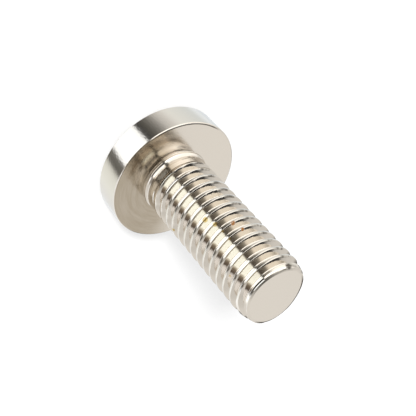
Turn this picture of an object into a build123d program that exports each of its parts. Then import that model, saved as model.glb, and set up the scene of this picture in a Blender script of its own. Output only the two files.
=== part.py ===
from build123d import *
from math import ceil, radians, sqrt, tan
import os

# Brake disc bolt: a low round head with a hex socket, a plain neck and a rolled right-hand thread.
# The bolt stands on the flat top of its head. The origin is the centre of that face, +Z runs up the
# shank to the tip, and all sizes are in millimetres and degrees.

# Head
head_diameter = 15.5
head_height = 3.6
top_chamfer = 0.3
seat_chamfer = 0.18

# Hex socket in the head, for a 5 mm key
key_across_flats = 5.0
key_clearance = 0.05
socket_depth = 2.0
socket_mouth = 0.12

# Neck under the head, thinner than the nominal diameter by its relief
shank_length = 19.8
neck_relief = 0.5
neck_length = 1.62
flare_width = 0.25
flare_height = 0.6
shoulder_angle = 45

# Metric thread, cut as one helical groove, its crests rolled a little lower than the nominal diameter
nominal_diameter = 8.0
crest_allowance = 0.15
pitch = 1.25
flank_angle = 60
groove_depth = 0.6134 * pitch
root_flat = pitch / 6
first_crest = 1.12
runout_start = 2.12
runout_turns = 0.68
cutter_overlap = 0.06
turns_per_face = 2

# Tip, stepping in from the thread crest to a narrow land, its rim and the end face
tip_land_inset = 0.125
tip_rim_inset = 0.2
tip_face_inset = 0.15
tip_rim_height = 0.05
tip_land_height = 0.07
tip_land_draft = 15
tip_chamfer_angle = 45

head_radius = head_diameter / 2
neck_radius = (nominal_diameter - neck_relief) / 2
thread_radius = (nominal_diameter - crest_allowance) / 2
groove_floor = nominal_diameter / 2 - groove_depth
tip_z = head_height + shank_length
stock_end = tip_z + 2 * pitch


def make_blank():
    """Forged blank: head with chamfered rims, flared neck, shoulder and a shank left too long at the tip."""
    shoulder_z = head_height + neck_length
    shoulder_top = shoulder_z + (thread_radius - neck_radius) / tan(radians(shoulder_angle))
    outline = Polyline(
        (0, 0),
        (head_radius - top_chamfer, 0),
        (head_radius, top_chamfer),
        (head_radius, head_height - seat_chamfer),
        (head_radius - seat_chamfer, head_height),
        (neck_radius + flare_width, head_height),
        (neck_radius, head_height + flare_height),
        (neck_radius, shoulder_z),
        (thread_radius, shoulder_top),
        (thread_radius, stock_end),
        (0, stock_end),
        close=True,
    )
    return revolve(make_face(Plane.XZ * outline), Axis.Z)


def make_socket():
    """Hex socket with a flat floor and a 45 degree countersunk mouth."""
    flat_radius = (key_across_flats + key_clearance) / 2
    corner_radius = 2 * flat_radius / sqrt(3)
    mouth_radius = corner_radius + socket_mouth
    mouth_end = 0.9 * flat_radius
    hexagon = extrude(RegularPolygon(corner_radius, 6), socket_depth)
    upwards = (Align.CENTER, Align.CENTER, Align.MIN)
    mouth = Cone(mouth_radius, mouth_end, mouth_radius - mouth_end, align=upwards)
    return hexagon + mouth


def groove_section(lift):
    """Groove profile in the XZ plane, its flat root at the groove floor plus the lift."""
    root_x = groove_floor + lift
    mouth_x = thread_radius + cutter_overlap + lift
    root_z = root_flat / 2
    mouth_z = root_z + (mouth_x - root_x) * tan(radians(flank_angle / 2))
    outline = Polyline(
        (root_x, -root_z),
        (mouth_x, -mouth_z),
        (mouth_x, mouth_z),
        (root_x, root_z),
        close=True,
    )
    return Plane.XZ * outline


def along_thread(turns):
    """Screw motion that carries a shape along the thread by a number of turns."""
    return Rot(0, 0, 360 * turns) * Pos(0, 0, pitch * turns)


def make_groove(turns):
    """Groove of full depth that starts at the origin, swept in lengths of about two turns."""
    pieces = ceil(turns / turns_per_face)
    length = turns / pieces
    helix = Helix(pitch, pitch * length, groove_floor)
    path = Wire([(along_thread(length * number) * helix).edge() for number in range(pieces)])
    return Solid.sweep(make_face(groove_section(0)).face(), path, is_frenet=True)


def make_runout():
    """Fading groove that climbs from the crest down to full depth at the end of its turns."""
    shallow = groove_section(groove_depth).wire()
    full = (along_thread(runout_turns) * groove_section(0)).wire()
    helix = Helix(pitch, pitch * runout_turns, groove_floor)
    return Solid.sweep_multi([shallow, full], helix, is_frenet=True)


def make_tip_envelope():
    """Space that the finished bolt fills: two chamfers at the tip with a narrow tapered land between them."""
    slope = tan(radians(tip_chamfer_angle))
    land_foot = thread_radius - tip_land_inset
    land_top = land_foot - tip_land_height * tan(radians(tip_land_draft))
    rim_radius = land_foot - tip_rim_inset
    rim_z = tip_z - tip_rim_height
    land_top_z = rim_z - (land_top - rim_radius) / slope
    land_foot_z = land_top_z - tip_land_height
    outline = Polyline(
        (0, 0),
        (head_radius, 0),
        (head_radius, land_foot_z - (head_radius - land_foot) / slope),
        (land_foot, land_foot_z),
        (land_top, land_top_z),
        (rim_radius, rim_z),
        (rim_radius - tip_face_inset, tip_z),
        (0, tip_z),
        close=True,
    )
    return revolve(make_face(Plane.XZ * outline), Axis.Z)


first_groove_z = head_height + first_crest + pitch / 2
turns_to_full_depth = (head_height + runout_start - first_groove_z) / pitch
full_turns = (shank_length - runout_start) / pitch + 1

groove = Pos(0, 0, first_groove_z) * along_thread(turns_to_full_depth) * make_groove(full_turns)
runout = Pos(0, 0, first_groove_z) * along_thread(turns_to_full_depth - runout_turns) * make_runout()

bolt = (make_blank() - groove - runout) & make_tip_envelope()
bolt -= make_socket()

os.makedirs("parts", exist_ok=True)
export_step(bolt, "parts/bolt.step")
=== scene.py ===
from math import cos, pi, radians, sin, sqrt

import bmesh
import bpy
from mathutils import Matrix, Vector


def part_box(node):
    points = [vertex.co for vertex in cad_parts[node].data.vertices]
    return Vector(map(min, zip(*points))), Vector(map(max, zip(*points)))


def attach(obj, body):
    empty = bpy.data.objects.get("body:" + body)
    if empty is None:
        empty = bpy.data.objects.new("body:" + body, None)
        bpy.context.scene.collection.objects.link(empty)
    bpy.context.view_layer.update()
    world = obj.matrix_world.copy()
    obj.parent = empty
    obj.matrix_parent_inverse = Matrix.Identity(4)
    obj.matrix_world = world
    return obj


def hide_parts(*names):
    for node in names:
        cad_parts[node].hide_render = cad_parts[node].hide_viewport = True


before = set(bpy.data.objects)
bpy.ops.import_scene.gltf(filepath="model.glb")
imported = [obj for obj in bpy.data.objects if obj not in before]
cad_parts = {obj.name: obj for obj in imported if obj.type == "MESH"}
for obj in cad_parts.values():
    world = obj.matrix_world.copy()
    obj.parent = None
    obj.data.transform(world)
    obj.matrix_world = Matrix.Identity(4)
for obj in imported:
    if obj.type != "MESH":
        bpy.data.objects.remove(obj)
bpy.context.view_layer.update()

# Head and neck: cold forged from round steel bar in one piece with the shank, the rim and seat then turned.
# A low round head with a 5 mm hex socket in the flat face that it stands on, a chamfer at each rim, and a
# short plain neck that flares into the seat.
MM = 0.001
bolt_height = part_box("bolt")[1].z / MM
head_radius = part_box("bolt")[1].x / MM
head_height = 3.6
top_chamfer = 0.3
seat_chamfer = 0.1
edge_round = 0.04
socket_flat_radius = 2.525
socket_depth = 2.0
socket_mouth = 0.12
neck_radius = 3.75
neck_length = 1.67
flare_width = 0.265
# The blank ends this high over the seat, where the thread's mesh takes over
thread_start = 0.98
segments = 180


def rounded(corners, radius, steps=3):
    """The outline through the corners, with each inner corner replaced by a short curve."""
    points = [Vector(corners[0])]
    for before, corner, after in zip(corners, corners[1:], corners[2:]):
        before, corner, after = Vector(before), Vector(corner), Vector(after)
        cut = min(radius, 0.4 * (before - corner).length, 0.4 * (after - corner).length)
        start = corner + (before - corner).normalized() * cut
        end = corner + (after - corner).normalized() * cut
        for step in range(steps + 1):
            t = step / steps
            points.append(start * (1 - t) ** 2 + corner * 2 * t * (1 - t) + end * t * t)
    return points + [Vector(corners[-1])]


def hexagon(angle):
    """Distance from the axis to the socket's wall at an angle."""
    return socket_flat_radius / cos((angle % (pi / 3)) - pi / 6)


# Each ring of points gives its distance from the axis at an angle, and its height. They run from the socket's
# floor up its wall, through the round mouth, over the rims and the seat, and along the neck.
mouth_radius = 2 * socket_flat_radius / sqrt(3) + socket_mouth
rings = []
for share in (0.33, 0.66, 1.0):
    rings.append(lambda angle, share=share: (share * hexagon(angle), socket_depth))
mouth_rows = [0.7 - 0.05 * step for step in range(15)]
for z in [1.3] + mouth_rows:
    rings.append(lambda angle, z=z: (max(hexagon(angle), mouth_radius - z), z))
outline = rounded(
    [
        (mouth_radius, 0),
        (head_radius - top_chamfer, 0),
        (head_radius, top_chamfer),
        (head_radius, head_height - seat_chamfer),
        (head_radius - seat_chamfer, head_height),
        (neck_radius + flare_width, head_height),
        (neck_radius, head_height + thread_start),
    ],
    edge_round,
)
for r, z in outline[1:-1]:
    rings.append(lambda angle, r=r, z=z: (r, z))
# Fillet from the seat to a small undercut, as height over the seat and distance outside the neck
fillet = [
    (0.06, 0.262), (0.13, 0.258), (0.2, 0.254), (0.27, 0.249), (0.285, 0.24), (0.33, 0.197), (0.38, 0.152),
    (0.43, 0.11), (0.48, 0.076), (0.53, 0.047), (0.58, 0.024), (0.63, 0.006), (0.68, -0.002), (0.74, -0.02),
    (0.8, -0.035), (0.88, -0.045), (thread_start, 0.0)]
for rise, out in fillet:
    rings.append(lambda angle, r=neck_radius + out, z=head_height + rise: (r, z))

head_mesh = bpy.data.meshes.new("bolt_blank")
shape = bmesh.new()
pole = shape.verts.new((0, 0, socket_depth * MM))
rows = []
for ring in rings:
    row = []
    for column in range(segments):
        angle = 2 * pi * column / segments
        r, z = ring(angle)
        row.append(shape.verts.new((r * cos(angle) * MM, r * sin(angle) * MM, z * MM)))
    rows.append(row)
for column in range(segments):
    following = (column + 1) % segments
    shape.faces.new((pole, rows[0][column], rows[0][following]))
    for inner, outer in zip(rows, rows[1:]):
        shape.faces.new((inner[column], outer[column], outer[following], inner[following]))
shape.to_mesh(head_mesh)
shape.free()
blank = bpy.data.objects.new("bolt_blank", head_mesh)
bpy.context.scene.collection.objects.link(blank)


# Bright nickel plate: a thin electroplated coat over the rolled and turned steel. To the eye it is a warm
# silver mirror on the thread, with fine circular tool lines on the wall and seat, and a few small spots of
# rust and yellow stain where the coat has gone. Painted onto it are a brown reflection of the shank on one
# side of the seat, shade on the tip's rim and a dark reflection at the seat's rim, with darker dashes above
# the crests.
pitch = 1.25
first_crest = 1.12
# Rise of the thread for each radian around the axis
thread_climb = 0.2
MATH = "ShaderNodeMath"
VECTOR_MATH = "ShaderNodeVectorMath"
MAP_RANGE = "ShaderNodeMapRange"


def srgb(code):
    """Linear colour with alpha from an sRGB hex value."""
    channels = [int(code[place:place + 2], 16) / 255 for place in (0, 2, 4)]
    return [c / 12.92 if c <= 0.04045 else ((c + 0.055) / 1.055) ** 2.4 for c in channels] + [1.0]


def add(tree, kind, inputs=(), **settings):
    """Adds one node with its settings; inputs are values, nodes or sockets, in order or by socket name."""
    node = tree.nodes.new(kind)
    for name, value in settings.items():
        setattr(node, name, value)
    for place, value in inputs.items() if isinstance(inputs, dict) else enumerate(inputs):
        if isinstance(value, bpy.types.Node):
            value = value.outputs[0]
        if isinstance(value, bpy.types.NodeSocket):
            tree.links.new(value, node.inputs[place])
        else:
            node.inputs[place].default_value = value
    return node


nickel = bpy.data.materials.new("bright_nickel_plate")
nickel.use_nodes = True
tree = nickel.node_tree
tree.nodes.clear()
place = add(tree, "ShaderNodeTexCoord").outputs["Object"]
place = add(tree, VECTOR_MATH, {0: place, "Scale": 1 / MM}, operation="SCALE").outputs["Vector"]
axes = add(tree, "ShaderNodeSeparateXYZ", [place]).outputs
flat = add(tree, "ShaderNodeCombineXYZ", [axes["X"], axes["Y"]])
around_axis = add(tree, VECTOR_MATH, [flat], operation="NORMALIZE")
radius = add(tree, VECTOR_MATH, [flat], operation="LENGTH").outputs["Value"]
bearing = add(tree, MATH, [axes["X"], axes["Y"]], operation="ARCTAN2")
seat_band = 0.03
on_seat = add(tree, MATH, [axes["Z"], head_height, seat_band], operation="COMPARE")
at_head = add(tree, MATH, [axes["Z"], head_height - seat_band], operation="LESS_THAN")
on_thread = add(tree, MATH, [axes["Z"], head_height + 0.1], operation="GREATER_THAN")
on_end = add(tree, MATH, [axes["Z"], bolt_height - 0.01], operation="GREATER_THAN")

# Tool lines: 0.09 mm apart around the wall and seat, drawn a little coarser than the real feed of 0.05 mm
wall_place = add(tree, "ShaderNodeCombineXYZ", [bearing, radius, axes["Z"]])
wall_lines = add(tree, VECTOR_MATH, [wall_place, (3.0, 11.0, 11.0)], operation="MULTIPLY")
lines = add(tree, "ShaderNodeTexNoise", {"Vector": wall_lines, "Scale": 1.0, "Detail": 2.0, "Roughness": 0.6})
turned = add(tree, MATH, [on_seat, at_head], operation="MAXIMUM")
line_height = add(tree, MATH, [lines, turned], operation="MULTIPLY")
bump = add(tree, "ShaderNodeBump", {"Height": line_height, "Strength": 0.5, "Distance": 0.008 * MM})
# Rolling lines that run along the thread, 0.1 mm apart, drawn coarser than the real drag marks
along_thread = add(tree, MATH, [bearing, thread_climb, axes["Z"]], operation="MULTIPLY_ADD")
drag_place = add(tree, "ShaderNodeCombineXYZ", [bearing, radius, along_thread])
drag_lines = add(tree, VECTOR_MATH, [drag_place, (2.5, 9.0, 9.0)], operation="MULTIPLY")
drag = add(tree, "ShaderNodeTexNoise", {"Vector": drag_lines, "Scale": 1.0, "Detail": 2.0, "Roughness": 0.6})
drag_height = add(tree, MATH, [drag, on_thread], operation="MULTIPLY")
bump = add(tree, "ShaderNodeBump", {
    "Height": drag_height, "Strength": 0.5, "Distance": 0.005 * MM, "Normal": bump})
# Flecks 0.2 mm across on the head's wall, and the orange peel of the coat, 0.4 mm across, all over
flecks = add(tree, "ShaderNodeTexNoise", {"Vector": place, "Scale": 5.0, "Detail": 2.0, "Roughness": 0.6})
fleck_height = add(tree, MATH, [flecks, at_head], operation="MULTIPLY")
bump = add(tree, "ShaderNodeBump", {
    "Height": fleck_height, "Strength": 0.6, "Distance": 0.01 * MM, "Normal": bump})
peel = add(tree, "ShaderNodeTexNoise", {"Vector": place, "Scale": 2.5, "Detail": 2.0, "Roughness": 0.5})
bump = add(tree, "ShaderNodeBump", {"Height": peel, "Strength": 0.6, "Distance": 0.004 * MM, "Normal": bump})

# Roughness: mirror bright on the thread, finely matt on the turned seat, the wall and the sheared end
mirror_rough = 0.07
seat_rough = add(tree, MATH, [on_seat, 0.08, mirror_rough], operation="MULTIPLY_ADD")
end_rough = add(tree, MATH, [on_end, 0.05, seat_rough], operation="MULTIPLY_ADD")
clean_rough = add(tree, MATH, [at_head, 0.05, end_rough], operation="MULTIPLY_ADD")


def on_side(degrees, edge, full, strength=1.0, **settings):
    """Strength of a mark on one side: none at one cosine from its bearing, and full at another."""
    toward = (sin(radians(degrees)), -cos(radians(degrees)), 0)
    nearness = add(tree, VECTOR_MATH, [around_axis, toward], operation="DOT_PRODUCT").outputs["Value"]
    return add(tree, MAP_RANGE, [nearness, edge, full, 0.0, strength], **settings)


# Painted reflection: the shank's brown mirror image darkens one side of the seat, broken into faint rings
# like those of the turning tool
shank_reflection_side = on_side(58, -0.1, 0.5, interpolation_type="SMOOTHSTEP")
drawn_bearing = add(tree, MATH, [bearing, 0.8], operation="MULTIPLY")
ring_place = add(tree, "ShaderNodeCombineXYZ", [drawn_bearing, radius])
faint_rings = add(tree, "ShaderNodeTexNoise", {
    "Vector": ring_place, "Scale": 2.2, "Detail": 3.0, "Roughness": 0.6})
ring_share = add(tree, MAP_RANGE, [faint_rings, 0.3, 0.7, 0.75, 1.0])
painted_shank_reflection = add(tree, MATH, [shank_reflection_side, ring_share], operation="MULTIPLY")
painted_shank_reflection = add(tree, MATH, [painted_shank_reflection, on_seat], operation="MULTIPLY")
# The plain nickel colour, and the brown of the shank's painted reflection on the seat
nickel_colour, shank_reflection_colour = srgb("D8D0C6"), srgb("A89C8A")
tone = add(tree, "ShaderNodeMix", {0: painted_shank_reflection, 6: nickel_colour, 7: shank_reflection_colour}, data_type="RGBA").outputs[2]


def ragged_spots(spots):
    """Strength of a group of ragged spots, given by height over the seat, bearing in degrees and reach."""
    spot_radius = 3.85
    ragged = add(tree, "ShaderNodeTexNoise", {"Vector": place, "Scale": 6.0, "Detail": 3.0, "Roughness": 0.7})
    mask = None
    for height, degrees, reach in spots:
        angle = radians(degrees)
        centre = (spot_radius * sin(angle), -spot_radius * cos(angle), head_height + height)
        gap = add(tree, VECTOR_MATH, [place, centre], operation="DISTANCE").outputs["Value"]
        spot = add(tree, MAP_RANGE, [gap, 0.6 * reach, 1.2 * reach, 1.0, 0.0])
        mask = add(tree, MATH, [spot, mask or 0.0], operation="MAXIMUM")
    broken = add(tree, MAP_RANGE, [ragged, 0.35, 0.6, 0.6, 1.6])
    return add(tree, MATH, [mask, broken], operation="MULTIPLY", use_clamp=True)


# Spots of yellow-brown stain and of rust on the thread
stain = ragged_spots([
    (9.75, 4, 0.3), (11.05, -3, 0.28), (12.35, -5, 0.2), (13.6, -5, 0.2), (6.1, 68, 0.22), (16.8, 41, 0.25)])
rust = ragged_spots([(12.12, -25, 0.26), (13.36, -30, 0.2)])
tone = add(tree, "ShaderNodeMix", {0: stain, 6: tone, 7: srgb("BFA66E")}, data_type="RGBA").outputs[2]
tone = add(tree, "ShaderNodeMix", {0: rust, 6: tone, 7: srgb("845522")}, data_type="RGBA").outputs[2]
# Darker short dashes just above each crest on one side, and painted shade on one patch at the tip's rim
dash_side = on_side(-59, cos(radians(13)), cos(radians(7)))
crest_phase = head_height + first_crest + pitch / 4
lowest_phase, highest_phase = crest_phase - pitch / 2, crest_phase + pitch / 2
from_crest = add(tree, MATH, [along_thread, highest_phase, lowest_phase], operation="WRAP")
dash_middle, dash_half_width = crest_phase + 0.12, 0.1
on_dash = add(tree, MATH, [from_crest, dash_middle, dash_half_width], operation="COMPARE")
dash_noise = add(tree, "ShaderNodeTexNoise", {"Vector": place, "Scale": 1.1, "Detail": 2.0, "Roughness": 0.7})
dash_share = add(tree, MAP_RANGE, [dash_noise, 0.4, 0.58, 0.1, 0.8])
dashes = add(tree, MATH, [dash_side, on_dash], operation="MULTIPLY")
dashes = add(tree, MATH, [dashes, dash_share], operation="MULTIPLY")
dashes = add(tree, MATH, [dashes, on_thread], operation="MULTIPLY")
# Painted shade: one dark patch on the far side of the tip's rim
dashes_and_painted_shading = add(tree, MATH, [dashes, ragged_spots([(19.6, -50, 0.4)])], operation="MAXIMUM")
# Painted dark reflection: a dark line just inside the seat's rim on one side
rim_reflection_side = on_side(-42, cos(radians(37)), cos(radians(29)), strength=0.9)
line_radius, line_half_width = head_radius - 0.17, 0.07
in_line = add(tree, MATH, [radius, line_radius, line_half_width], operation="COMPARE")
painted_rim_reflection = add(tree, MATH, [in_line, rim_reflection_side], operation="MULTIPLY")
painted_rim_reflection = add(tree, MATH, [painted_rim_reflection, on_seat], operation="MULTIPLY")
dashes_and_painted_shading = add(tree, MATH, [dashes_and_painted_shading, painted_rim_reflection], operation="MAXIMUM")
# The darker dashes, the painted shade at the tip and the painted dark reflection at the rim all take one dark
# grey
tone = add(tree, "ShaderNodeMix", {0: dashes_and_painted_shading, 6: tone, 7: srgb("5A544D")}, data_type="RGBA").outputs[2]
# Rust is matt and hardly metal, and a scuffed patch on the neck is duller than the rest
metal = add(tree, MATH, [rust, -0.75, 1.0], operation="MULTIPLY_ADD")
scuff = ragged_spots([(1.2, 9, 0.85)])
rough = add(tree, MATH, [rust, 0.4, clean_rough], operation="MULTIPLY_ADD")
rough = add(tree, MATH, [scuff, 0.28, rough], operation="MULTIPLY_ADD")
surface = add(tree, "ShaderNodeBsdfPrincipled", {
    "Base Color": tone, "Metallic": metal, "Roughness": rough, "Normal": bump})
add(tree, "ShaderNodeOutputMaterial", [surface])

# Thread: an M8 x 1.25 right-hand thread rolled between dies, so its crests are narrow lands with soft edges,
# its roots are round and its first groove fades in over two thirds of a turn. The last turn narrows a little
# to a small bevel at the rim of the end face, which was sheared square to the axis and is not quite round.
nominal_radius = 4.0
thread_radius = 3.925
full_depth = 0.6134 * pitch
root_radius = 0.144 * pitch
crest_round = 0.06
full_depth_at = 2.12
flank_angle = 60
arc = (0, 15, 30, 45, flank_angle)
# Lobes of the end face's outline: how many there are, where the first lies in degrees, and how far they reach
tip_lobes = ((1, 300, 1.0), (2, 58, 0.85), (3, 296, 0.5))
# The thread's mesh is a band of rows that climb with it, then a band of level rows under the end face
level_band = 1.25
level_row_step = 0.025
turns_below = 2

groove_depth = full_depth - (nominal_radius - thread_radius)
root_reach = root_radius * sin(radians(flank_angle))
land_half = pitch / 2 - root_reach - (groove_depth - root_radius / 2) / sqrt(3)
round_reach = crest_round / sqrt(3)
# Half of the thread's section, as distance along the axis from the crest and depth below it
crest_arc = []
root_arc = []
for degrees in arc:
    turn = radians(degrees)
    crest_arc.append((land_half - round_reach + crest_round * sin(turn), crest_round * (1 - cos(turn))))
    root_arc.append((pitch / 2 - root_radius * sin(turn), groove_depth - root_radius * (1 - cos(turn))))
root_arc.reverse()
(flank_top, top_depth), (flank_foot, foot_depth) = crest_arc[-1], root_arc[0]
flank = []
for share in (0.33, 0.66):
    flank.append((flank_top + (flank_foot - flank_top) * share, top_depth + (foot_depth - top_depth) * share))
section = [(0.0, 0.0), *crest_arc, *flank, *root_arc]
row_phases = [along / pitch for along, depth in section]
row_phases += [1 - phase for phase in reversed(row_phases[1:-1])]
rows_per_pitch = len(row_phases)

tree = bpy.data.node_groups.new("rolled_thread", "GeometryNodeTree")
tree.interface.new_socket("Geometry", in_out="INPUT", socket_type="NodeSocketGeometry")
tree.interface.new_socket("Geometry", in_out="OUTPUT", socket_type="NodeSocketGeometry")
thread_sizes = {
    "Crest Radius": thread_radius,
    "Pitch": pitch,
    "Groove Depth": groove_depth,
    "First Crest": head_height + first_crest,
    "Full Depth Height": head_height + full_depth_at,
    "Run-out Depth": full_depth,
    "Run-out Turns": 0.68,
    "Neck Radius": neck_radius,
    "Shoulder Height": head_height + neck_length,
    "Shoulder Slope": 0.55,
    "Start Height": head_height + thread_start,
    "Tip Height": bolt_height,
    "Tip Face Radius": 3.27,
    "Tip Rim Radius": 3.53,
    "Tip Bevel Height": 0.075,
    "Tip Land Height": 0.1,
    "Tip Taper": 0.24,
    "Tip Taper Radius": 3.58,
    "Tip Filling Slope": -1.2,
    "Tip Unevenness": 0.16,
    "Die Marks": 0.006,
    "Bruise Depth": 0.07,
}
for name, value in thread_sizes.items():
    socket = tree.interface.new_socket(name, in_out="INPUT", socket_type="NodeSocketFloat")
    socket.default_value = value
sizes = add(tree, "NodeGroupInput").outputs


def thread_band(height_of_row, row_count):
    """A closed band of rows around the axis, pushed in to the thread's section at each point."""
    grid = add(tree, "GeometryNodeMeshGrid", {"Vertices X": segments + 1, "Vertices Y": row_count})
    index = add(tree, "GeometryNodeInputIndex")
    centred = add(tree, MATH, [index, 0.5], operation="ADD")
    share = add(tree, MATH, [centred, row_count], operation="DIVIDE")
    column = add(tree, MATH, [share], operation="FLOOR")
    before = add(tree, MATH, [column, row_count], operation="MULTIPLY")
    row = add(tree, MATH, [index, before], operation="SUBTRACT")
    turn = add(tree, MATH, [column, segments], operation="DIVIDE")
    z = height_of_row(row, turn)
    # Distance from the nearest crest, in pitches, and the depth of the section there
    above_first = add(tree, MATH, [z, sizes["First Crest"]], operation="SUBTRACT")
    pitches = add(tree, MATH, [above_first, sizes["Pitch"]], operation="DIVIDE")
    along = add(tree, MATH, [pitches, turn], operation="SUBTRACT")
    nearest = add(tree, MATH, [along], operation="ROUND")
    signed = add(tree, MATH, [along, nearest], operation="SUBTRACT")
    from_crest = add(tree, MATH, [signed], operation="ABSOLUTE")
    doubled = add(tree, MATH, [from_crest, 2.0], operation="MULTIPLY")
    curve = add(tree, "ShaderNodeFloatCurve", {"Value": doubled})
    points = curve.mapping.curves[0].points
    for distance, depth in section[1:-1]:
        points.new(2 * distance / pitch, depth / groove_depth)
    for point in points:
        point.handle_type = "VECTOR"
    curve.mapping.update()
    # Fading start of the groove, which is lifted out of the steel over its first part of a turn
    groove = add(tree, MATH, [along], operation="FLOOR")
    groove_middle = add(tree, MATH, [groove, 0.5], operation="ADD")
    groove_turns = add(tree, MATH, [groove_middle, turn], operation="ADD")
    full_rise = add(tree, MATH, [sizes["Full Depth Height"], sizes["First Crest"]], operation="SUBTRACT")
    full_turns = add(tree, MATH, [full_rise, sizes["Pitch"]], operation="DIVIDE")
    missing = add(tree, MATH, [full_turns, groove_turns], operation="SUBTRACT")
    fade = add(tree, MATH, [missing, sizes["Run-out Turns"]], operation="DIVIDE", use_clamp=True)
    lift = add(tree, MATH, [fade, sizes["Run-out Depth"]], operation="MULTIPLY")
    cut = add(tree, MATH, [curve, sizes["Groove Depth"]], operation="MULTIPLY")
    lifted = add(tree, MATH, [cut, lift], operation="SUBTRACT")
    depth = add(tree, MATH, [lifted, 0.0], operation="MAXIMUM")
    threaded = add(tree, MATH, [sizes["Crest Radius"], depth], operation="SUBTRACT")
    # Shoulder between the neck and the first crest
    over_shoulder = add(tree, MATH, [z, sizes["Shoulder Height"]], operation="SUBTRACT")
    shoulder_rise = add(tree, MATH, [over_shoulder, 0.0], operation="MAXIMUM")
    shoulder = add(tree, MATH, [shoulder_rise, sizes["Shoulder Slope"], sizes["Neck Radius"]],
                   operation="MULTIPLY_ADD")
    shaft = add(tree, MATH, [threaded, shoulder], operation="MINIMUM")
    # The groove is filled again just under the end face
    below_tip = add(tree, MATH, [sizes["Tip Height"], z], operation="SUBTRACT")
    filling = add(tree, MATH, [below_tip, sizes["Tip Filling Slope"], sizes["Tip Rim Radius"]],
                  operation="MULTIPLY_ADD")
    shaft = add(tree, MATH, [shaft, filling], operation="MAXIMUM")
    # Bevel at the rim, a short land under it, a 45 degree chamfer and a slight taper, all out of round
    bevel_width = add(tree, MATH, [sizes["Tip Rim Radius"], sizes["Tip Face Radius"]], operation="SUBTRACT")
    bevel_slope = add(tree, MATH, [bevel_width, sizes["Tip Bevel Height"]], operation="DIVIDE")
    bevel = add(tree, MATH, [below_tip, bevel_slope, sizes["Tip Face Radius"]], operation="MULTIPLY_ADD")
    land_foot = add(tree, MATH, [sizes["Tip Bevel Height"], sizes["Tip Land Height"]], operation="ADD")
    under_land = add(tree, MATH, [below_tip, land_foot], operation="SUBTRACT")
    widening = add(tree, MATH, [under_land, 0.0], operation="MAXIMUM")
    chamfer = add(tree, MATH, [widening, sizes["Tip Rim Radius"]], operation="ADD")
    taper = add(tree, MATH, [below_tip, sizes["Tip Taper"], sizes["Tip Taper Radius"]],
                operation="MULTIPLY_ADD")
    tip = add(tree, MATH, [bevel, chamfer], operation="MINIMUM")
    tip = add(tree, MATH, [tip, taper], operation="MINIMUM")
    shift = 0.0
    for lobes, degrees, reach in tip_lobes:
        past_lobe = add(tree, MATH, [turn, degrees / 360], operation="SUBTRACT")
        past_lobe = add(tree, MATH, [past_lobe, 2 * pi * lobes], operation="MULTIPLY")
        toward_lobe = add(tree, MATH, [past_lobe], operation="COSINE")
        shift = add(tree, MATH, [toward_lobe, reach, shift], operation="MULTIPLY_ADD")
    shift = add(tree, MATH, [shift, sizes["Tip Unevenness"]], operation="MULTIPLY")
    tip = add(tree, MATH, [tip, shift], operation="ADD")
    shaped = add(tree, MATH, [shaft, tip], operation="MINIMUM")
    angle = add(tree, MATH, [turn, 2 * pi], operation="MULTIPLY")
    x = add(tree, MATH, [angle], operation="COSINE")
    y = add(tree, MATH, [angle], operation="SINE")
    outward = add(tree, "ShaderNodeCombineXYZ", [x, y, 0.0])
    side = add(tree, VECTOR_MATH, {0: outward, "Scale": thread_radius}, operation="SCALE")
    height = add(tree, "ShaderNodeCombineXYZ", {"Z": z})
    rim_place = add(tree, VECTOR_MATH, [side, height], operation="ADD")
    # Small unevenness left by the dies, with none at the blank's edge or at the end face
    fade_height = 0.3
    waves = add(tree, "ShaderNodeTexNoise", {"Vector": rim_place, "Scale": 0.9, "Detail": 1.0})
    sunk = add(tree, MATH, [waves, sizes["Die Marks"]], operation="MULTIPLY")
    fading = add(tree, MATH, [below_tip, fade_height], operation="DIVIDE", use_clamp=True)
    above_start = add(tree, MATH, [z, sizes["Start Height"]], operation="SUBTRACT")
    growing = add(tree, MATH, [above_start, fade_height], operation="DIVIDE", use_clamp=True)
    faded = add(tree, MATH, [fading, growing], operation="MULTIPLY")
    dent = add(tree, MATH, [sunk, faded], operation="MULTIPLY")
    radius = add(tree, MATH, [shaped, dent], operation="SUBTRACT")
    # Bruise on the crests where the thread was knocked
    bruise_bearing, bruise_height = radians(-38), 7.6
    bruise_x, bruise_y = thread_radius * sin(bruise_bearing), -thread_radius * cos(bruise_bearing)
    bruise_place = (bruise_x, bruise_y, head_height + bruise_height)
    gap = add(tree, VECTOR_MATH, [rim_place, bruise_place], operation="DISTANCE").outputs["Value"]
    bruised = add(tree, MAP_RANGE, [gap, 0.4, 1.1, 1.0, 0.0])
    chips = add(tree, "ShaderNodeTexNoise", {"Vector": rim_place, "Scale": 4.5, "Detail": 1.0})
    chip_depth = add(tree, MAP_RANGE, [chips, 0.4, 0.65, 0.0, sizes["Bruise Depth"]])
    knock = add(tree, MATH, [chip_depth, bruised], operation="MULTIPLY")
    radius = add(tree, MATH, [radius, knock], operation="SUBTRACT")
    side = add(tree, VECTOR_MATH, {0: outward, "Scale": radius.outputs[0]}, operation="SCALE")
    spot = add(tree, VECTOR_MATH, [side, height], operation="ADD")
    in_metres = add(tree, VECTOR_MATH, {0: spot, "Scale": MM}, operation="SCALE")
    return add(tree, "GeometryNodeSetPosition", {"Geometry": grid, "Position": in_metres})


level_start = add(tree, MATH, [sizes["Tip Height"], level_band], operation="SUBTRACT")


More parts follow.
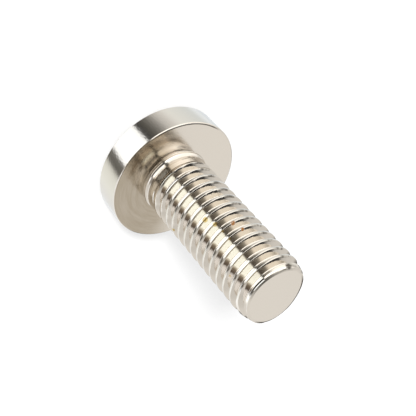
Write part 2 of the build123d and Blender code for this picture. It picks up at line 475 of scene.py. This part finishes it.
def climbing_row(row, turn):
    """Height of a row that climbs with the thread and lies at a fixed place of its section."""
    centred = add(tree, MATH, [row, 0.5], operation="ADD")
    share = add(tree, MATH, [centred, rows_per_pitch], operation="DIVIDE")
    whole = add(tree, MATH, [share], operation="FLOOR")
    before = add(tree, MATH, [whole, rows_per_pitch], operation="MULTIPLY")
    step = add(tree, MATH, [row, before], operation="SUBTRACT")
    part = add(tree, MATH, [step, rows_per_pitch], operation="DIVIDE")
    curve = add(tree, "ShaderNodeFloatCurve", {"Value": part})
    points = curve.mapping.curves[0].points
    for number, phase in enumerate(row_phases[1:], 1):
        points.new(number / rows_per_pitch, phase)
    for point in points:
        point.handle_type = "VECTOR"
    curve.mapping.update()
    climbed = add(tree, MATH, [whole, curve], operation="ADD")
    turned = add(tree, MATH, [climbed, turn], operation="ADD")
    pitches = add(tree, MATH, [turned, turns_below], operation="SUBTRACT")
    z = add(tree, MATH, [pitches, sizes["Pitch"], sizes["First Crest"]], operation="MULTIPLY_ADD")
    above_start = add(tree, MATH, [z, sizes["Start Height"]], operation="MAXIMUM")
    return add(tree, MATH, [above_start, level_start], operation="MINIMUM")


def level_row(row, turn):
    """Height of a level row, a fixed step above the one before."""
    z = add(tree, MATH, [row, level_row_step, level_start], operation="MULTIPLY_ADD")
    return add(tree, MATH, [z, sizes["Tip Height"]], operation="MINIMUM")


turns_up = (bolt_height - level_band - head_height - first_crest) / pitch + turns_below + 1
climbing = thread_band(climbing_row, int(turns_up * rows_per_pitch))
level = thread_band(level_row, int(level_band / level_row_step) + 1)
# The bands are welded to the blank and to each other, and then made one plain mesh
joined = add(tree, "GeometryNodeJoinGeometry")
for part in (sizes["Geometry"], climbing.outputs[0], level.outputs[0]):
    tree.links.new(part, joined.inputs[0])
merged = add(tree, "GeometryNodeMergeByDistance", {"Geometry": joined, "Distance": 0.003 * MM})
realised = add(tree, "GeometryNodeRealizeInstances", [merged])
plated = add(tree, "GeometryNodeSetMaterial", {"Geometry": realised, "Material": nickel})
add(tree, "NodeGroupOutput", [plated])

rolling = blank.modifiers.new("rolled_thread", "NODES")
rolling.node_group = tree
for item in tree.interface.items_tree:
    if item.in_out == "INPUT" and item.name in thread_sizes:
        rolling[item.identifier] = thread_sizes[item.name]
bpy.context.view_layer.update()
evaluated = blank.evaluated_get(bpy.context.evaluated_depsgraph_get())
bolt_mesh = bpy.data.meshes.new_from_object(evaluated)
bolt_mesh.name = "threaded_bolt"
blank.modifiers.remove(rolling)
bpy.data.objects.remove(blank)
# End face, closed by a fan of triangles around its middle
shape = bmesh.new()
shape.from_mesh(bolt_mesh)
middle = shape.verts.new((0, 0, bolt_height * MM))
for edge in [edge for edge in shape.edges if edge.is_boundary]:
    shape.faces.new((*edge.verts, middle))
bmesh.ops.dissolve_degenerate(shape, edges=shape.edges, dist=0.0005 * MM)
bmesh.ops.recalc_face_normals(shape, faces=shape.faces)
for face in shape.faces:
    face.smooth = True
    face.material_index = 0
# Sharp where the surface turns by more than 35 degrees, and around each flat face
for edge in shape.edges:
    level_sides = {abs(face.normal.z) > 0.999 for face in edge.link_faces}
    edge.smooth = len(level_sides) == 1 and edge.calc_face_angle(0.0) < radians(35)
shape.to_mesh(bolt_mesh)
shape.free()
bolt_mesh.materials.clear()
bolt_mesh.materials.append(nickel)
bolt = bpy.data.objects.new("threaded_bolt", bolt_mesh)
bpy.context.scene.collection.objects.link(bolt)
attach(bolt, "root")
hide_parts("bolt")

# Floor: a plain white sheet of card. It is white to the eye, with the bolt's soft shadow, and the polished
# metal looks past it to the white studio with its dark flags.
half = 1.0
glow_strength = 0.73
paper_share = 0.45
floor_mesh = bpy.data.meshes.new("floor")
corners = [(-half, -half, 0), (half, -half, 0), (half, half, 0), (-half, half, 0)]
floor_mesh.from_pydata(corners, [], [(0, 1, 2, 3)])
floor_object = bpy.data.objects.new("floor", floor_mesh)
bpy.context.scene.collection.objects.link(floor_object)
card = bpy.data.materials.new("white_card")
card.use_nodes = True
tree = card.node_tree
tree.nodes.clear()
paper = add(tree, "ShaderNodeBsdfDiffuse", {"Color": srgb("FFFFFF")})
glow = add(tree, "ShaderNodeEmission", {"Color": srgb("FFFFFF"), "Strength": glow_strength})
white = add(tree, "ShaderNodeMixShader", [paper_share, glow, paper])
clear = add(tree, "ShaderNodeBsdfTransparent")
path = add(tree, "ShaderNodeLightPath").outputs
look = add(tree, "ShaderNodeMixShader", [path["Is Glossy Ray"], white, clear])
add(tree, "ShaderNodeOutputMaterial", [look])
floor_mesh.materials.append(card)

# Sun: one soft lamp, a little above the camera's side. It throws the bolt's shadow on the card, and makes no
# highlight on the metal.
sun_bearing, sun_height = radians(-10), radians(33)
sun_data = bpy.data.lights.new("soft_lamp", "SUN")
sun_data.energy = 3.4
sun_data.angle = radians(10)
sun = bpy.data.objects.new("soft_lamp", sun_data)
bpy.context.scene.collection.objects.link(sun)
sun.visible_glossy = False
level_reach = cos(sun_height)
toward_sun = Vector((sin(sun_bearing) * level_reach, -cos(sun_bearing) * level_reach, sin(sun_height)))
sun.rotation_euler = toward_sun.to_track_quat("Z", "Y").to_euler()

# World: a white studio with soft boxes and black flags around the bolt. Each ring of light is given by its
# lowest height, and each stop on it by its bearing from the camera and the linear colour of the light there.
# The rings blend into each other over a few degrees. The eye and the card see plain white.
world = bpy.data.worlds.new("studio")
bpy.context.scene.world = world
world.use_nodes = True
tree = world.node_tree
tree.nodes.clear()
brightest = 2.5
half_blend = 4
rings_of_light = [
    (-90, [
        (-180, 1.0, 1.05, 1.1), (-150, 0.85, 0.92, 0.97), (-135, 1.05, 1.13, 1.2), (-117, 0.9, 0.97, 1.0),
        (-75, 1.07, 1.12, 1.12), (-69, 1.02, 1.05, 1.05), (-63, 0.92, 0.93, 0.93), (-57, 0.82, 0.83, 0.82),
        (-50, 0.7, 0.71, 0.7), (-43, 0.44, 0.44, 0.43), (-34, 0.24, 0.24, 0.23), (-25, 0.13, 0.13, 0.12),
        (-16, 0.08, 0.08, 0.08), (-11, 0.08, 0.08, 0.08), (-8, 1.6, 1.7, 1.8), (43, 1.6, 1.7, 1.8),
        (47, 0.22, 0.22, 0.21), (64, 0.16, 0.16, 0.15), (71, 0.85, 0.88, 0.86), (80, 1.05, 1.1, 1.07),
        (105, 1.12, 1.18, 1.17), (125, 1.04, 1.08, 1.1), (150, 0.97, 1.01, 1.04)]),
    (-30, [
        (-180, 0.14, 0.13, 0.12), (-160, 0.14, 0.13, 0.12), (-150, 0.95, 0.95, 0.92),
        (-123, 1.1, 1.12, 1.1), (-111, 0.85, 0.87, 0.83), (-105, 0.72, 0.74, 0.69), (-93, 1.25, 1.25, 1.2),
        (-81, 1.6, 1.62, 1.55), (-51, 1.65, 1.67, 1.6), (-45, 1.4, 1.4, 1.33), (-39, 0.7, 0.7, 0.66),
        (-33, 0.4, 0.4, 0.36), (-20, 0.2, 0.19, 0.17), (-10, 0.2, 0.19, 0.17), (-6, 1.9, 2.1, 2.1),
        (0, 2.1, 2.4, 2.45), (33, 2.1, 2.35, 2.4), (38, 1.1, 1.1, 1.0), (44, 0.4, 0.36, 0.3),
        (57, 0.16, 0.13, 0.11), (64, 1.4, 1.48, 1.6), (72, 1.55, 1.65, 1.8), (105, 1.5, 1.6, 1.7),
        (145, 1.1, 1.1, 1.08), (156, 0.14, 0.13, 0.12)]),
    (-2, [
        (-180, 0.14, 0.13, 0.12), (-160, 0.14, 0.13, 0.12), (-150, 0.85, 0.85, 0.83),
        (-125, 0.85, 0.85, 0.83), (-118, 1.3, 1.3, 1.28), (-100, 1.55, 1.55, 1.5), (-22, 1.6, 1.6, 1.55),
        (-18, 0.2, 0.2, 0.18), (-10, 0.2, 0.2, 0.18), (-6, 1.9, 1.9, 1.85), (40, 1.9, 1.9, 1.85),
        (46, 0.4, 0.38, 0.35), (62, 0.4, 0.38, 0.35), (70, 0.85, 0.85, 0.83), (100, 1.0, 1.0, 0.98),
        (148, 0.95, 0.95, 0.93), (156, 0.14, 0.13, 0.12)]),
    (14, [
        (-180, 1.0, 1.0, 0.98), (-150, 0.85, 0.85, 0.83), (-125, 0.85, 0.85, 0.83), (-118, 1.3, 1.3, 1.28),
        (-100, 1.55, 1.55, 1.5), (-22, 1.6, 1.6, 1.55), (-18, 0.2, 0.2, 0.18), (-10, 0.2, 0.2, 0.18),
        (-6, 1.9, 1.9, 1.85), (40, 1.9, 1.9, 1.85), (46, 0.4, 0.38, 0.35), (62, 0.4, 0.38, 0.35),
        (70, 0.85, 0.85, 0.83), (100, 1.0, 1.0, 0.98), (146, 0.95, 0.95, 0.93)]),
    (32, [
        (-180, 1.02, 1.02, 1.0), (-160, 1.02, 1.02, 1.0), (-150, 0.85, 0.85, 0.83),
        (-128, 0.75, 0.75, 0.73), (-116, 0.7, 0.7, 0.68), (-108, 1.5, 1.55, 1.55), (-95, 2.1, 2.2, 2.25),
        (-18, 2.1, 2.2, 2.25), (-14, 0.08, 0.08, 0.08), (46, 0.08, 0.08, 0.08), (54, 1.5, 1.55, 1.6),
        (62, 2.0, 2.1, 2.2), (102, 2.0, 2.1, 2.2), (116, 0.8, 0.8, 0.78), (140, 0.9, 0.9, 0.88),
        (160, 1.02, 1.02, 1.0)]),
    (43, [
        (-180, 1.02, 1.02, 1.0), (-162, 1.02, 1.02, 1.0), (-152, 0.75, 0.75, 0.73), (-132, 0.6, 0.6, 0.58),
        (-124, 0.08, 0.08, 0.08), (-96, 0.06, 0.06, 0.06), (-90, 2.2, 2.2, 2.15), (-18, 2.2, 2.2, 2.15),
        (-14, 0.08, 0.08, 0.08), (78, 0.08, 0.08, 0.08), (90, 0.85, 0.85, 0.83), (140, 0.85, 0.85, 0.83),
        (160, 1.02, 1.02, 1.0)]),
    (51, [
        (-180, 0.6, 0.6, 0.58), (-140, 0.4, 0.4, 0.38), (-125, 0.12, 0.12, 0.11), (-114, 0.05, 0.05, 0.05),
        (-90, 0.05, 0.05, 0.05), (-85, 2.2, 2.2, 2.15), (-18, 2.2, 2.2, 2.15), (-14, 0.06, 0.06, 0.06),
        (50, 0.06, 0.06, 0.06), (66, 0.5, 0.5, 0.48), (88, 0.9, 0.9, 0.88), (135, 0.7, 0.7, 0.68)]),
    (60, [
        (-180, 0.1, 0.1, 0.09), (-125, 0.1, 0.1, 0.09), (-114, 0.05, 0.05, 0.05), (50, 0.06, 0.06, 0.06),
        (66, 0.5, 0.5, 0.48), (88, 0.9, 0.9, 0.88), (110, 0.9, 0.9, 0.88), (135, 0.3, 0.3, 0.28),
        (150, 0.08, 0.08, 0.08)]),
    (75, [
        (-180, 0.7, 0.7, 0.68), (-135, 0.7, 0.7, 0.68), (-120, 0.1, 0.1, 0.09), (-60, 0.08, 0.08, 0.07),
        (-48, 0.6, 0.55, 0.45), (95, 0.6, 0.55, 0.45), (120, 0.12, 0.11, 0.1), (135, 0.7, 0.7, 0.68)]),
]
direction = add(tree, "ShaderNodeTexCoord").outputs["Generated"]
axes = add(tree, "ShaderNodeSeparateXYZ", [direction]).outputs
toward_camera = add(tree, MATH, [axes["Y"], -1.0], operation="MULTIPLY")
bearing = add(tree, MATH, [axes["X"], toward_camera], operation="ARCTAN2")
around = add(tree, MAP_RANGE, [bearing, -pi, pi, 0.0, 1.0])
height = add(tree, MATH, [axes["Z"]], operation="ARCSINE")
light = None
for lowest, stops in rings_of_light:
    ramp = add(tree, "ShaderNodeValToRGB", [around])
    elements = ramp.color_ramp.elements
    elements.remove(elements[1])
    elements[0].position = 0.0
    elements[0].color = [level / brightest for level in stops[0][1:]] + [1.0]
    for degrees, *levels in stops[1:]:
        elements.new((degrees + 180) / 360).color = [level / brightest for level in levels] + [1.0]
    elements.new(1.0).color = elements[0].color
    if light is None:
        light = ramp.outputs[0]
        continue
    blend_start, blend_end = radians(lowest - half_blend), radians(lowest + half_blend)
    reach = add(tree, MAP_RANGE, [height, blend_start, blend_end, 0.0, 1.0])
    light = add(tree, "ShaderNodeMix", {0: reach, 6: light, 7: ramp}, data_type="RGBA").outputs[2]
studio = add(tree, "ShaderNodeBackground", [light, brightest])
plain = add(tree, "ShaderNodeBackground", [srgb("FFFFFF"), 1.0])
path = add(tree, "ShaderNodeLightPath").outputs
sky = add(tree, "ShaderNodeMixShader", [path["Is Glossy Ray"], plain, studio])
add(tree, "ShaderNodeOutputWorld", [sky])

# Camera: it looks down at the bolt by 37 degrees and is turned on its own axis, so that the shank runs down
# to the right.
camera_data = bpy.data.cameras.new("camera")
camera_data.lens = 73.2
camera_data.sensor_width = 36
camera_data.clip_start = 0.005
camera = bpy.data.objects.new("camera", camera_data)
bpy.context.scene.collection.objects.link(camera)
aim = Vector((-0.744, 0, 9.573)) * MM
elevation, roll, distance = radians(36.93), radians(138.4), 92.0 * MM
turned = Matrix.Rotation(pi / 2 - elevation, 4, "X") @ Matrix.Rotation(roll, 4, "Z")
back = turned.to_3x3() @ Vector((0, 0, 1))
camera.matrix_world = Matrix.Translation(aim + back * distance) @ turned
bpy.context.scene.camera = camera

bpy.context.scene.view_settings.view_transform = "Standard"
